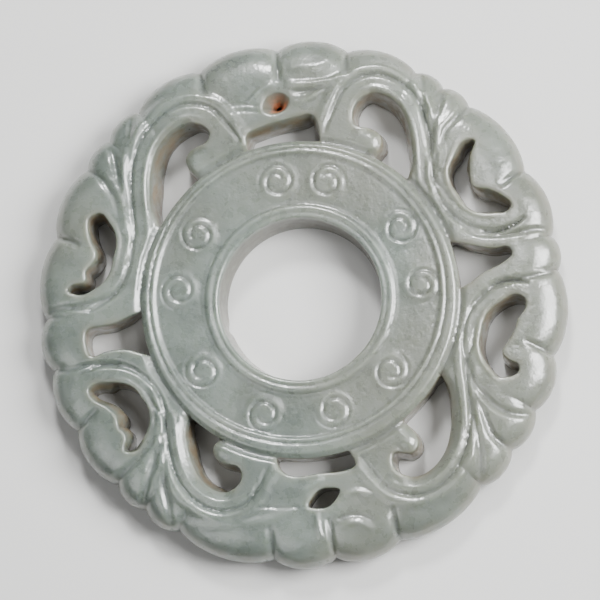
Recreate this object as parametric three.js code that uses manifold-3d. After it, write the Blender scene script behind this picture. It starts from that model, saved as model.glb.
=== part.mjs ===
// Openwork jade disc: a pierced ring of scrolls and lobes around a plain ring with ten spirals.
// One carved piece that lies on its back. Millimetres and degrees, +Z up, +Y towards the hanging hole.

import * as THREE from 'three';
import { mergeVertices } from 'three/addons/utils/BufferGeometryUtils.js';
import Module from 'manifold-3d';

const wasm = await Module();
wasm.setup();

// Body
const thickness = 5.3;
const widestLevel = 2.4;
const notchRadius = 28.3;
const lobeRise = 1.05;
const lobeRiseShare = 0.18;
const lobeFullness = 0.62;
const outlineShift = new THREE.Vector2(-0.04, -0.16);
const edgeRoundWidth = 3.0;
const borderDrop = 0.2;
const lobeValleyDepth = 0.45;
const lobeLean = 6;
const backRoundWidth = 1.3;

// Ring
const holeRadius = 9.0;
const ringRadius = 17.6;
const holeEdgeRound = 0.35;
const holeLean = 0.45;
const innerRimWidth = 1.6;
const outerRimWidth = 1.9;
const bandShift = new THREE.Vector2(-0.2, 0.45);
const bandDepth = 0.3;
const rimGrooveWidth = 0.7;
const rimGrooveDepth = 0.5;
const ringEdgeDrop = 0.5;
const ringValleyWidth = 0.9;
const ringOverlap = 1.0;
const ringLean = 0.25;

// Openings and cut lines
const knobLean = 0.2;
const leanSpread = 0.7;
const bridgeMiddleRadius = 18.7;
const strandSide = { away: 0.6, toTip: 0.8, from: -0.15, to: 0.35 };
const openingBevel = 0.3;
const strokeEndStrength = 0.12;
const strandWidth = 1.7;
const strandSpreadAtTip = 1.6;
const strandSpreadAtCrook = 1.2;
const strandLineWidth = 1.1;
const strandLineDepth = 0.5;
const clawMiddleRadius = 23;
const clawStrandWidth = 1.9;
const slitAngle = 3.2;
const slitLength = 1.7;
const slitWidth = 0.8;
const slitDepth = 0.7;

// Spirals of the ring, in mirrored pairs
const spiralRadius = 2.0;
const spiralCore = 0.5;
const spiralTurns = 1.45;
const spiralBeadWidth = 0.75;
const spiralBeadHeight = 0.28;
const spiralPairs = [
	{ middle: 82, spread: 12, radius: 13.4 },
	{ middle: 13.5, spread: 14.5, radius: 13.55 },
	{ middle: 297, spread: 17, radius: 12.95 },
	{ middle: 227.5, spread: 18.5, radius: 13.3 },
	{ middle: 154, spread: 14, radius: 13.5 },
];

// Each quarter is measured by its angle from the long axis through the hanging hole.
// notches: where its lobes meet. scroll: the teardrop opening. claw: the comma opening.
// lean: how far the wall beside the strand, the arc or the scallops comes in towards the back.
const quarters = [
	{
		start: 90, turn: -1,
		notches: [1.3, 17.2, 33.3, 40.4, 47.5, 66.9, 82.7],
		scroll: { tip: 48.9, crook: 22.6, crown: 24.45, knob: 0.53, knobTop: 0.41, pocket: 0.38, lean: 0.95 },
		claw: {
			from: 53.1, to: 74.9, low: 20.8, end: 24.9, roundness: 4.4, arcLean: 0.1, scallopLean: 1.1,
			scallops: [[73.4, 25.5], [70.4, 24.9], [67.5, 24.0], [64.5, 22.65], [60.7, 23.3], [57.5, 24.4],
				[55, 26]],
		},
	},
	{
		start: 90, turn: 1,
		notches: [16.7, 33.1, 42.3, 50.4, 67.0, 85.7],
		scroll: { tip: 54.3, crook: 21.2, crown: 23.85, knob: 0.645, knobTop: 0.51, pocket: 0.47, lean: 0.9 },
		claw: {
			from: 58.5, to: 81, low: 21.3, end: 24.35, roundness: 3.8, arcLean: 0.3, scallopLean: 0.55,
			scallops: [[80, 25.9], [78.6, 25.6], [77.2, 23.9], [74.6, 24.1], [71.8, 23.4], [69.3, 23.3], [67, 24.1],
				[64, 24.9], [61, 25.3]],
		},
	},
	{
		start: 270, turn: -1,
		notches: [13.2, 35.5, 44.5, 53.0, 68.0, 82.7],
		scroll: { tip: 50.7, crook: 25, crown: 23, knob: 0.505, knobTop: 0.42, pocket: 0.39, lean: 0.95 },
		claw: {
			from: 54.5, to: 75.6, low: 20.5, end: 24.6, roundness: 3.8, arcLean: 0.15, scallopLean: 1.3,
			scallops: [[74.5, 25.4], [71.5, 25.2], [68.5, 24.3], [65, 23.9], [62.3, 24.4], [60.5, 24.2],
				[58.8, 24.4], [56.8, 25.5]],
		},
	},
	{
		start: 270, turn: 1,
		notches: [0.6, 15.4, 36.9, 47.4, 57.6, 70.3, 89.5],
		scroll: { tip: 54, crook: 21.9, crown: 23.85, knob: 0.65, knobTop: 0.56, pocket: 0.39, lean: 0.6 },
		claw: {
			from: 60.4, to: 83.5, low: 20.35, end: 23.8, roundness: 3.2, arcLean: 0.2, scallopLean: 0.5,
			scallops: [[82.4, 24.8], [79.6, 24.9], [77, 24.2], [74, 24.0], [70.6, 23.5], [67.5, 23.1], [65.9, 24],
				[65.5, 25.3], [63.3, 25.5]],
		},
	},
];

// Edge of a scroll opening. First share: from its tip (0) to its crook (1).
// Second share: from the ring's edge (0) to its crown (1).
const scrollEdge = [[0, 0], [0.1, 0.3], [0.25, 0.53], [0.41, 0.76], [0.57, 0.93], [0.74, 1], [0.87, 0.96],
	[0.97, 0.79], [1, 0.58]];
const scrollNotch = 0.93;

// The slots above and below the ring and the gates beside it, as angle and radius of their edge,
// with the lean of their outer side. Each runs in under the ring's edge.
const bridges = [
	{
		lean: 1.5,
		edge: [[102, 16.6], [101.8, 18.4], [101, 19.3], [94.5, 19.8], [86.5, 20.2], [79.4, 20.6], [77.6, 19.8],
			[76.4, 18.4], [76.6, 16.6]],
	},
	{
		lean: 0.3,
		edge: [[254.8, 16.6], [255.3, 18.4], [257.8, 19.3], [262, 19.65], [268.1, 19.45], [277.3, 19.7],
			[281.6, 19.5], [281, 18], [279.8, 16.6]],
	},
	{
		lean: 0.2,
		edge: [[13.6, 16.8], [12.7, 18], [7.1, 21.7], [6.2, 23.7], [4.2, 23.9], [2.3, 22.7], [0, 20.2],
			[-2.9, 18.6], [-3.7, 16.8]],
	},
	{
		lean: 0.15,
		edge: [[176.1, 16.8], [176.7, 18], [179.6, 21.2], [180.2, 23.8], [183.9, 24.2], [187.5, 23.9],
			[187.2, 22.2], [188.2, 20], [192.2, 17.9], [193, 16.8]],
	},
];

// The hanging hole and the leaf-shaped hole below the ring, from end to end
const leaves = [
	{ ends: [[94, 21.3], [86, 22.9]], halfWidth: 0.95, lean: 0.1 },
	{ ends: [[265.2, 23], [275, 21.6]], halfWidth: 1.1, lean: -0.25 },
];

// Fineness
const lobeStep = 1.38;
const edgeSteps = 4;
const backSteps = 3;
const ringSides = 60;
const openingSteps = 28;
const leafSteps = 14;
const lineStep = 1.5;
const spiralSteps = 16;
const clearance = 1.0;
const facetTolerance = 0.03;

const jade = new THREE.MeshStandardMaterial({ color: 0x9ba79b, roughness: 0.3, metalness: 0 });

const { degToRad, euclideanModulo, lerp, smoothstep } = THREE.MathUtils;
const fullTurn = 360;

function polar(angle, radius) {
	return new THREE.Vector3(radius * Math.cos(degToRad(angle)), radius * Math.sin(degToRad(angle)), 0);
}

function quarterPoint(quarter, angle, radius) {
	return polar(quarter.start + quarter.turn * angle, radius);
}

function toSolid(geometry) {
	geometry.deleteAttribute('normal');
	geometry.deleteAttribute('uv');
	const merged = mergeVertices(geometry, 1e-5);
	return new wasm.Manifold(new wasm.Mesh({
		numProp: 3,
		vertProperties: new Float32Array(merged.attributes.position.array),
		triVerts: new Uint32Array(merged.index.array),
	}));
}

// A closed body through sections of equally many points. A ring of sections has no end faces.
function loft(sections, isRing = false) {
	const count = sections[0].length;
	const indices = [];
	const last = isRing ? sections.length : sections.length - 1;
	for (let s = 0; s < last; s++) {
		const here = s * count;
		const next = ((s + 1) % sections.length) * count;
		for (let i = 0; i < count; i++) {
			const j = (i + 1) % count;
			indices.push(here + i, here + j, next + j, here + i, next + j, next + i);
		}
	}
	if (!isRing) {
		const top = (sections.length - 1) * count;
		for (const [a, b, c] of capTriangles(sections[0])) {
			indices.push(a, c, b, top + a, top + b, top + c);
		}
	}
	const geometry = new THREE.BufferGeometry();
	const positions = sections.flat().flatMap((point) => point.toArray());
	geometry.setAttribute('position', new THREE.Float32BufferAttribute(positions, 3));
	geometry.setIndex(indices);
	const solid = toSolid(geometry);
	if (solid.volume() > 0) {
		return solid;
	}
	geometry.setIndex([...indices].reverse());
	return toSolid(geometry);
}

// Ears of a plan outline that runs anticlockwise, or a fan over a small upright section.
function capTriangles(section) {
	if (section.every((point) => point.z === section[0].z)) {
		return THREE.ShapeUtils.triangulateShape(section.map(({ x, y }) => new THREE.Vector2(x, y)), []);
	}
	return Array.from({ length: section.length - 2 }, (_, i) => [0, i + 1, i + 2]);
}

function lathe(profile) {
	const points = [...profile, profile[0]].map(([radius, z]) => new THREE.Vector2(radius, z));
	const geometry = new THREE.LatheGeometry(points, ringSides);
	geometry.rotateX(Math.PI / 2);
	const solid = toSolid(geometry);
	return solid.volume() > 0 ? solid : lathe([...profile].reverse());
}

// Lobed outline
const edgeRoundHeight = thickness - borderDrop - widestLevel;
const notchAngles = quarters
	.flatMap(({ start, turn, notches }) => notches.map((notch) => start + turn * notch))
	.map((angle) => euclideanModulo(angle, fullTurn))
	.sort((a, b) => a - b);
const lobes = notchAngles.map((from, i) => {
	const to = notchAngles[(i + 1) % notchAngles.length];
	return { from, width: euclideanModulo(to - from, fullTurn) };
});

function lobeRadius(lobe, share) {
	const rise = Math.min(lobeRise, lobeRiseShare * degToRad(lobe.width) * notchRadius);
	return notchRadius + rise * Math.abs(Math.sin(Math.PI * share)) ** lobeFullness;
}

function outlineRadius(angle) {
	const lobe = lobes.find(({ from, width }) => euclideanModulo(angle - from, fullTurn) < width) ?? lobes[0];
	return lobeRadius(lobe, euclideanModulo(angle - lobe.from, fullTurn) / lobe.width);
}

function surfaceHeight(point) {
	const x = point.x - outlineShift.x;
	const y = point.y - outlineShift.y;
	const inset = outlineRadius(THREE.MathUtils.radToDeg(Math.atan2(y, x))) - Math.hypot(x, y);
	const outward = 1 - THREE.MathUtils.clamp(inset / edgeRoundWidth, 0, 1);
	return widestLevel + edgeRoundHeight * Math.sqrt(1 - outward ** 2);
}

// One upright section of the border. At a notch the rounded edge sinks into a valley between two lobes.
function borderSection(angle, radius, valleyDepth) {
	const section = [
		[ringRadius - ringOverlap, 0],
		[ringRadius - ringOverlap, thickness - ringEdgeDrop],
		[ringRadius, thickness - ringEdgeDrop],
		[ringRadius + ringValleyWidth, thickness - borderDrop],
	];
	for (let i = 0; i <= edgeSteps; i++) {
		const turn = (i / edgeSteps) * Math.PI / 2;
		section.push([
			radius - edgeRoundWidth * (1 - Math.sin(turn)),
			widestLevel + edgeRoundHeight * Math.cos(turn) - valleyDepth * Math.cos(turn) * Math.min(i, 1),
		]);
	}
	for (let i = 1; i <= backSteps; i++) {
		const turn = (i / backSteps) * Math.PI / 2;
		section.push([radius - backRoundWidth * (1 - Math.cos(turn)), widestLevel * (1 - Math.sin(turn))]);
	}
	return section.map(([r, z]) => {
		const outward = smoothstep(r, ringRadius, radius);
		const lean = lobeLean * Math.sin(degToRad(4 * angle)) * outward * (1 - outward);
		const shift = outlineShift.clone().multiplyScalar(outward);
		return polar(angle + lean, r).add(new THREE.Vector3(shift.x, shift.y, z));
	});
}

function borderBlank() {
	const sections = [];
	for (const lobe of lobes) {
		const steps = Math.max(4, Math.round(degToRad(lobe.width) * notchRadius / lobeStep));
		for (let i = 0; i < steps; i++) {
			const angle = lobe.from + lobe.width * i / steps;
			sections.push(borderSection(angle, lobeRadius(lobe, i / steps), i === 0 ? lobeValleyDepth : 0));
		}
	}
	return loft(sections, true);
}

// Plan curves
function closedCurve(points, count) {
	return new THREE.CatmullRomCurve3(points, true, 'centripetal').getSpacedPoints(count).slice(0, -1);
}

function openCurve(points, step = lineStep) {
	const curve = new THREE.CatmullRomCurve3(points, false, 'centripetal');
	return curve.getSpacedPoints(Math.max(3, Math.round(curve.getLength() / step)));
}

function scrollPoint({ tip, crook, crown }, [along, out]) {
	return [tip - (tip - crook) * along, ringRadius + (crown - ringRadius) * out];
}

function scrollOpening(quarter) {
	const { knob, knobTop, pocket } = quarter.scroll;
	const length = scrollNotch - knob;
	const knobEdge = [[0.5, knobTop], [0.2, knobTop - 0.03], [0.02, knobTop - 0.17], [0.02, 0.05],
		[0.05, -0.15]]
		.map(([share, out]) => [knob + length * share, out]);
	return [...scrollEdge, [scrollNotch, pocket], ...knobEdge, [0.3, -0.25], [0.05, -0.15]]
		.map((shares) => quarterPoint(quarter, ...scrollPoint(quarter.scroll, shares)));
}

function clawArc({ from, to, low, end, roundness }, share, outset = 0) {
	const radius = low + (end - low) * Math.abs(2 * share - 1) ** roundness;
	return [from + (to - from) * share, radius - outset];
}

function clawOpening(quarter) {
	const arc = [0.005, 0.07, 0.17, 0.33, 0.5, 0.67, 0.83, 0.93, 0.995]
		.map((share) => quarterPoint(quarter, ...clawArc(quarter.claw, share)));
	const scallops = quarter.claw.scallops.map(([angle, radius]) => quarterPoint(quarter, angle, radius));
	return [...arc, ...scallops];
}

function leafOpening({ ends, halfWidth }) {
	const [from, to] = ends.map((end) => polar(...end));
	const along = new THREE.Vector3().subVectors(to, from).normalize();
	const across = new THREE.Vector3(-along.y, along.x, 0);
	return [0, 0.22, 0.5, 0.78, 1, 1.22, 1.5, 1.78].map((turn) => {
		const share = 1 - Math.abs(1 - turn);
		const half = Math.sign(1 - turn) * halfWidth * Math.sin(Math.PI * share);
		return from.clone().lerp(to, share).addScaledVector(across, half);
	});
}

function signedArea(points) {
	return THREE.ShapeUtils.area(points.map(({ x, y }) => new THREE.Vector2(x, y)));
}

function outwardAt(outline, i) {
	const along = new THREE.Vector3().subVectors(outline[(i + 1) % outline.length], outline.at(i - 1));
	return new THREE.Vector3(along.y, -along.x, 0).normalize();
}

// Moves each point of an anticlockwise outline outwards by its distance, limited by the room beside it.
function offsetOutline(outline, distances) {
	return outline.map((point, i) => {
		const outward = outwardAt(outline, i).multiplyScalar(Math.sign(distances[i]));
		let room = Infinity;
		for (const other of outline) {
			const gap = new THREE.Vector3().subVectors(other, point);
			const ahead = gap.dot(outward);
			if (ahead > 1e-6) {
				room = Math.min(room, gap.lengthSq() / (2 * ahead));
			}
		}
		return point.clone().addScaledVector(outward, Math.min(Math.abs(distances[i]), room / 2));
	});
}

// A cutter with a bevelled upper edge, whose walls come in towards the back by the lean at each point.
function openingCutter(points, leanAt, count = openingSteps) {
	const curve = closedCurve(points, count);
	const edge = signedArea(curve) > 0 ? curve : curve.reverse();
	const leans = edge.map((point, i) => -leanAt(point, outwardAt(edge, i)));
	const level = (distances, z) => offsetOutline(edge, distances).map((point) => point.setZ(z));
	return loft([
		level(leans, -clearance),
		level(leans, 0),
		level(leans.map(() => 0), thickness - openingBevel),
		level(leans.map(() => openingBevel + clearance / 2), thickness + clearance / 2),
	]);
}

// Leans of the walls: at the ring they stand back, at the strand round a scroll they come in most.
function radialLean(inner, outer, split) {
	return (point) => lerp(inner, outer, smoothstep(point.length(), split - leanSpread, split + leanSpread));
}

function scrollLean({ turn, scroll }) {
	return (point, outward) => {
		const away = point.clone().normalize();
		const toTip = new THREE.Vector3(-away.y, away.x, 0).multiplyScalar(turn);
		const facing = strandSide.away * outward.dot(away) + strandSide.toTip * outward.dot(toTip);
		const inner = point.length() < ringRadius ? -ringLean : knobLean;
		return lerp(inner, scroll.lean, smoothstep(facing, strandSide.from, strandSide.to));
	};
}

// A line cut or raised along a path: a three-sided body that runs out to a point at both ends.
function stroke(path, width, height, surface) {
	const sections = path.map((point, i) => {
		const before = path[Math.max(i - 1, 0)];
		const after = path[Math.min(i + 1, path.length - 1)];
		const along = new THREE.Vector3().subVectors(after, before).normalize();
		const across = new THREE.Vector3(-along.y, along.x, 0);
		const share = i / (path.length - 1);
		const strength = Math.max(strokeEndStrength, (4 * share * (1 - share)) ** 0.4);
		const z = surface(point);
		const overlap = -Math.sign(height) * clearance / 4;
		const spread = (width / 2) * (strength + Math.abs(overlap / height));
		return [
			point.clone().addScaledVector(across, spread).setZ(z + overlap),
			point.clone().setZ(z + height * strength),
			point.clone().addScaledVector(across, -spread).setZ(z + overlap),
		];
	});
	return loft(sections);
}

function cutLine(points, width, depth) {
	return stroke(openCurve(points), width, -depth, surfaceHeight);
}

// Valleys beside the two strands that sweep round each scroll opening.
function strandLines(quarter) {
	return [1, 2].map((strand) => {
		const points = scrollEdge.slice(1, -1).map((shares) => {
			const [angle, radius] = scrollPoint(quarter.scroll, shares);
			const spread = strandSpreadAtTip * (1 - shares[0]) - strandSpreadAtCrook * shares[0] ** 3;
			return quarterPoint(quarter, angle + strand * spread, radius + strand * strandWidth);
		});
		return cutLine(points, strandLineWidth, strandLineDepth);
	});
}

// Valley that follows the inner arc of the claw opening and ends in a slit beside its tip.
function clawLines(quarter) {
	const arc = [0.02, 0.15, 0.35, 0.6, 0.8, 0.95]
		.map((share) => quarterPoint(quarter, ...clawArc(quarter.claw, share, clawStrandWidth)));
	const turn = quarterPoint(quarter, quarter.claw.to + slitAngle, quarter.claw.end);
	const end = quarterPoint(quarter, quarter.claw.to + slitAngle - 1, quarter.claw.end + slitLength);
	return [
		cutLine([...arc, turn], strandLineWidth, strandLineDepth),
		cutLine([arc.at(-1).lerp(turn, 0.5), turn, end], slitWidth, slitDepth),
	];
}

function borderSolid() {
	let border = borderBlank();
	const openings = [
		...quarters.map((quarter) => openingCutter(scrollOpening(quarter), scrollLean(quarter))),
		...quarters.map((quarter) => {
			const { arcLean, scallopLean } = quarter.claw;
			return openingCutter(clawOpening(quarter), radialLean(arcLean, scallopLean, clawMiddleRadius));
		}),
		...bridges.map(({ edge, lean }) => openingCutter(
			edge.map((station) => polar(...station)), radialLean(-ringLean, lean, bridgeMiddleRadius))),
		...leaves.map((leaf) => openingCutter(leafOpening(leaf), () => leaf.lean, leafSteps)),
	];
	const lines = [...quarters.flatMap(strandLines), ...quarters.flatMap(clawLines)];
	for (const cutter of [...openings, ...lines]) {
		border = border.subtract(cutter);
	}
	return border;
}

function grooveRing(radius) {
	const top = thickness + clearance;
	const spread = (rimGrooveWidth / 2) * (1 + clearance / rimGrooveDepth);
	return lathe([
		[radius - spread, top],
		[radius, thickness - rimGrooveDepth],
		[radius + spread, top],
	]);
}

function spiralBead(middle, side, spread, radius) {
	const centre = polar(middle + side * spread, radius);
	const facing = degToRad(middle + side * spread) + side * Math.PI * 0.6;
	const path = Array.from({ length: spiralSteps + 1 }, (_, i) => {
		const share = i / spiralSteps;
		const reach = spiralCore + (spiralRadius - spiralCore) * (1 - share) ** 0.8;
		const turn = facing - side * spiralTurns * 2 * Math.PI * share;
		return centre.clone().add(new THREE.Vector3(reach * Math.cos(turn), reach * Math.sin(turn), 0));
	});
	return stroke(path, spiralBeadWidth, spiralBeadHeight, () => thickness - bandDepth);
}

function ringSolid() {
	const bandInner = holeRadius + innerRimWidth;
	const bandOuter = ringRadius - outerRimWidth;
	const body = lathe([
		[holeRadius - holeLean + holeEdgeRound, 0],
		[holeRadius - holeLean, holeEdgeRound],
		[holeRadius, thickness - holeEdgeRound],
		[holeRadius + holeEdgeRound, thickness],
		[ringRadius - ringEdgeDrop, thickness],
		[ringRadius, thickness - ringEdgeDrop],
		[ringRadius - ringLean, 0],
	]);
	const recess = lathe([
		[holeRadius / 2, thickness - bandDepth],
		[holeRadius / 2, thickness + clearance],
		[bandOuter, thickness + clearance],
		[bandOuter, thickness - bandDepth],
	]).translate(bandShift.x, bandShift.y, 0).subtract(lathe([
		[holeRadius / 4, 0],
		[holeRadius / 4, 2 * thickness],
		[bandInner, 2 * thickness],
		[bandInner, 0],
	]));
	let ring = body.subtract(recess);
	ring = ring.subtract(grooveRing(bandOuter).translate(bandShift.x, bandShift.y, 0));
	ring = ring.subtract(grooveRing(bandInner));
	for (const { middle, spread, radius } of spiralPairs) {
		for (const side of [-1, 1]) {
			ring = ring.add(spiralBead(middle, side, spread, radius));
		}
	}
	return ring;
}

function toMesh(solid, name) {
	const { vertProperties, triVerts } = solid.simplify(facetTolerance).getMesh();
	const geometry = new THREE.BufferGeometry();
	geometry.setAttribute('position', new THREE.BufferAttribute(vertProperties, 3));
	geometry.setIndex(new THREE.BufferAttribute(triVerts, 1));
	geometry.computeVertexNormals();
	geometry.computeBoundingBox();
	const middle = geometry.boundingBox.getCenter(new THREE.Vector3());
	geometry.translate(-middle.x, -middle.y, -geometry.boundingBox.min.z);
	const mesh = new THREE.Mesh(geometry, jade);
	mesh.name = name;
	return mesh;
}

const model = new THREE.Group();
model.add(toMesh(borderSolid().add(ringSolid()), 'openwork_disc'));

export default model;
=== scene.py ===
import math
import bpy
import numpy as np
from mathutils import Matrix, Vector, kdtree
from mathutils.geometry import delaunay_2d_cdt


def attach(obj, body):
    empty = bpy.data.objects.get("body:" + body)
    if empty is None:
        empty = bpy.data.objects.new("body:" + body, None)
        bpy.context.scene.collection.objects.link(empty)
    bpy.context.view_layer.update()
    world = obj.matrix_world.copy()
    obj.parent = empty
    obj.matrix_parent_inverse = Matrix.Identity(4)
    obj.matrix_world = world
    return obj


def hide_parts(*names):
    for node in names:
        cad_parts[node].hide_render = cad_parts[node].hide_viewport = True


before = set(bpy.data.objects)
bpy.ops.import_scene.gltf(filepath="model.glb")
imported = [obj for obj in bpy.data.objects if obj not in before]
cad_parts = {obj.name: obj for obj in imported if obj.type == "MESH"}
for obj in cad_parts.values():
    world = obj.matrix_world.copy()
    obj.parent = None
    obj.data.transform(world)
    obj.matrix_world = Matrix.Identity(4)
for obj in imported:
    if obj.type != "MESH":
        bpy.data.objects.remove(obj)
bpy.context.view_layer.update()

# Sizes in millimetres, angles in degrees. The middle of the ring's hole is the centre while modelling.
MM = 0.001
THICKNESS = 5.3
NOTCH_RADIUS = 28.3
LOBE_RISE = 1.05
LOBE_RISE_SHARE = 0.18
LOBE_FULLNESS = 0.62
OUTLINE_SHIFT = np.array([-0.04, -0.16])
DOME_WIDTH = 5.0
DOME_EDGE_POWER = 2.6
DOME_TOP_POWER = 0.55
BORDER_TOP = 5.1
WIDEST_LEVEL = 2.4
BACK_ROUND_WIDTH = 1.3
HOLE_RADIUS = 9.0
RING_RADIUS = 17.6
HOLE_EDGE_ROUND = 0.4
HOLE_EDGE_DROP = 0.12
RING_TOP = THICKNESS - 0.04
INNER_RIM_WIDTH = 1.6
OUTER_RIM_WIDTH = 1.9
BAND_SHIFT = np.array([-0.2, 0.45])
BAND_DEPTH = 0.3
BAND_DISH, BAND_DISH_MIDDLE, BAND_DISH_WIDTH = 0.05, 13.2, 2.4
RING_EDGE_DROP = 0.5
HOLE_TAPER = 0.45
RING_SIDE_TAPER = -0.25
KNOB_TAPER = 0.2
OPENING_BEVEL = 0.14
OPENING_WEAR_DEPTH, OPENING_WEAR_WIDTH = 0.07, 0.4
KNOB_ROUND_DEPTH, KNOB_ROUND_WIDTH = 0.6, 1.2
CHAMFER_DROP = 0.6
CHIP_ANGLE, CHIP_SPREAD, CHIP_DEPTH = 190.5, 3.5, 0.7
SPIRAL_RADIUS = 2.05
SPIRAL_CORE = 0.58
SPIRAL_SWELL = 0.17
SPIRAL_TURNS = 1.5
SPIRAL_FACING = 0.6 * math.pi
# Pairs of spirals: the angle of their middle, how far each stands from it, and their radius on the ring
SPIRAL_PAIRS = [(82, 12, 13.4), (13.5, 14.5, 13.55), (297, 17, 12.95), (227.5, 18.5, 13.3), (154, 14, 13.5)]
# Grooves and swells of the two rims: height (negative is cut), distance from the band's edge, half width
INNER_RIM_LINES = [(-0.26, 0.0, 0.2), (0.04, -0.5, 0.28), (-0.08, -0.95, 0.16)]
OUTER_RIM_LINES = [(-0.26, 0.0, 0.19), (0.02, 0.32, 0.2), (-0.18, 0.7, 0.17)]

# Fineness of the mesh
FACE_STEP = 0.195
BACK_STEP = 0.5
EDGE_STEP = 0.24
LINE_STEP = 0.3

# A quarter: start and turn of its angles, notches, scroll (tip, crook, crown, knob, knob top, pocket),
# claw (from, to, low, end, roundness) with its scalloped side, how much the scroll's strand, the claw's
# arc and the scallops lean in towards the back, the chamfer of the strand, the depth of the slit at the
# claw's root, the relief of the fan, and the crest from the fan of narrow lobes to the ring. The last
# quarter's fan has its own valleys. Angles run from the start of the quarter.
QUARTERS = [
    dict(start=90, turn=-1, notches=[1.3, 17.2, 33.3, 40.4, 47.5, 66.9, 82.7],
         scroll=(48.9, 22.6, 24.45, 0.53, 0.41, 0.38), claw=(53.1, 74.9, 20.8, 24.9, 4.4),
         tapers=(0.95, 0.1, 1.1), chamfer=0.45, slit=0.75, relief=0.9,
         crest=[(46.7, 26.8), (46.8, 25.5), (47, 24.4), (48.1, 23.3), (49.6, 22.1), (50.9, 21.1),
                (52.9, 20.2), (55.2, 19.5), (59, 18.95), (66, 18.8)],
         scallops=[(73.4, 25.5), (70.4, 24.9), (67.5, 24.0), (64.5, 22.65), (60.7, 23.3), (57.5, 24.4),
                   (55, 26.0)]),
    dict(start=90, turn=1, notches=[16.7, 33.1, 42.3, 50.4, 67.0, 85.7],
         scroll=(54.3, 21.2, 23.85, 0.645, 0.51, 0.47), claw=(58.5, 81, 21.3, 24.35, 3.8),
         tapers=(0.9, 0.3, 0.55), chamfer=0.5, slit=0.15, relief=0.6,
         crest=[(49.5, 26.6), (50.6, 25.3), (52.9, 23.5), (56.2, 22), (59.3, 21), (62.3, 20.1),
                (65.8, 19.75), (69.6, 19.65), (75, 19.8)],
         scallops=[(80, 25.9), (78.6, 25.6), (77.2, 23.9), (74.6, 24.1), (71.8, 23.4), (69.3, 23.3),
                   (67, 24.1), (64, 24.9), (61, 25.3)]),
    dict(start=270, turn=-1, notches=[13.2, 35.5, 44.5, 53.0, 68.0, 82.7],
         scroll=(50.7, 25.0, 23.0, 0.505, 0.42, 0.39), claw=(54.5, 75.6, 20.5, 24.6, 3.8),
         tapers=(0.95, 0.15, 1.8), chamfer=1.0, slit=0.25, relief=0.9,
         crest=[(52, 25.0), (52.2, 23.2), (53.2, 21.6), (54.9, 20.7), (57.8, 19.9), (62, 19.3), (68, 19)],
         scallops=[(74.5, 25.4), (71.5, 25.2), (68.5, 24.3), (65, 23.9), (62.3, 24.4), (60.5, 24.2),
                   (58.8, 24.4), (56.8, 25.5)]),
    dict(start=270, turn=1, notches=[0.6, 15.4, 36.9, 47.4, 57.6, 70.3, 89.5],
         scroll=(54.0, 21.9, 23.85, 0.65, 0.56, 0.39), claw=(60.4, 83.5, 20.35, 23.8, 3.2),
         tapers=(0.6, 0.2, 0.5), chamfer=1.15, slit=0.75, relief=1.0,
         crest=[(44.5, 23.8), (46.5, 22.9), (50.6, 21.5), (54.6, 20.3), (58.1, 19.4), (61.5, 18.7),
                (67.7, 18.35), (74.2, 18.35), (79, 18.7)],
         fan=[[(36.9, 29.6), (37.6, 28.6), (39.1, 27.6), (42.6, 25.9), (46.1, 24.4), (49.8, 22.8),
               (53.2, 21.5)],
              [(47.4, 29.7), (46.6, 28.2), (46.9, 26.5), (48.9, 24.9), (51.4, 23.4), (54, 22)],
              [(57.6, 29.6), (56.2, 28.7), (54.8, 27.7), (53.7, 26.3), (53.6, 24.8), (54.4, 23.3),
               (56.2, 21.7), (59, 20.5), (62.5, 19.7)]],
         scallops=[(82.4, 24.8), (79.6, 24.9), (77, 24.2), (74, 24.0), (70.6, 23.5), (67.5, 23.1),
                   (65.9, 24.0), (65.5, 25.3), (63.3, 25.5)]),
]
# A scroll's outer edge: shares of the way from its tip to its crook, and from the ring to its crown
SCROLL_EDGE = [(0, 0), (0.1, 0.3), (0.25, 0.53), (0.41, 0.76), (0.57, 0.93), (0.74, 1), (0.87, 0.96),
               (0.97, 0.79), (1, 0.58)]
SCROLL_NOTCH = 0.93
# The middle of a knob: past the knob's share of the scroll, and as a share of the height of its top
KNOB_PAST, KNOB_SHARE = 0.06, 0.55
# The slots above and below the ring and the gates beside it, each with the lean of its outer side
BRIDGES = [
    ([(102, 16.6), (101.8, 18.4), (101, 19.3), (94.5, 19.8), (86.5, 20.2), (79.4, 20.6), (77.6, 19.8),
      (76.4, 18.4), (76.6, 16.6)], 1.5),
    ([(254.8, 16.6), (255.3, 18.4), (257.8, 19.3), (262, 19.65), (268.1, 19.45), (277.3, 19.7),
      (281.6, 19.5), (281, 18), (279.8, 16.6)], 0.3),
    ([(13.6, 16.8), (12.7, 18), (7.1, 21.7), (6.2, 23.7), (4.2, 23.9), (2.3, 22.7), (0, 20.2), (-2.9, 18.6),
      (-3.7, 16.8)], 0.2),
    ([(176.1, 16.8), (176.7, 18), (179.6, 21.2), (180.2, 23.8), (183.9, 24.2), (187.5, 23.9), (187.2, 22.2),
      (188.2, 20), (192.2, 17.9), (193.0, 16.8)], 0.15),
]
# Radius at which a wall's lean changes from its ring side to its outer side
CLAW_SPLIT = 23
BRIDGE_SPLIT = 18.7
# The pierced leaf below the ring: its ends, half width and lean
LOWER_LEAF = ([(265.2, 23.0), (275, 21.6)], 1.1, -0.25)
# The hanging hole above the ring: its rim, its lean, how far its walls draw in to its waist, where the
# waist lies from the middle of the rim, and the radius of the residue round it
HANGING_HOLE = [(93.8, 21.3), (91.7, 20.9), (89.4, 20.9), (87.2, 21.3), (86.2, 22.0), (86.6, 22.75),
                (88.4, 23.15), (90.6, 23.15), (92.6, 22.75), (94, 21.95)]
HANGING_HOLE_LEAN = 0.3
WAIST_SHARE = 0.7
WAIST_SHIFT = np.array([0.15, -0.35])
RESIDUE_RADIUS = 0.88

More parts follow.
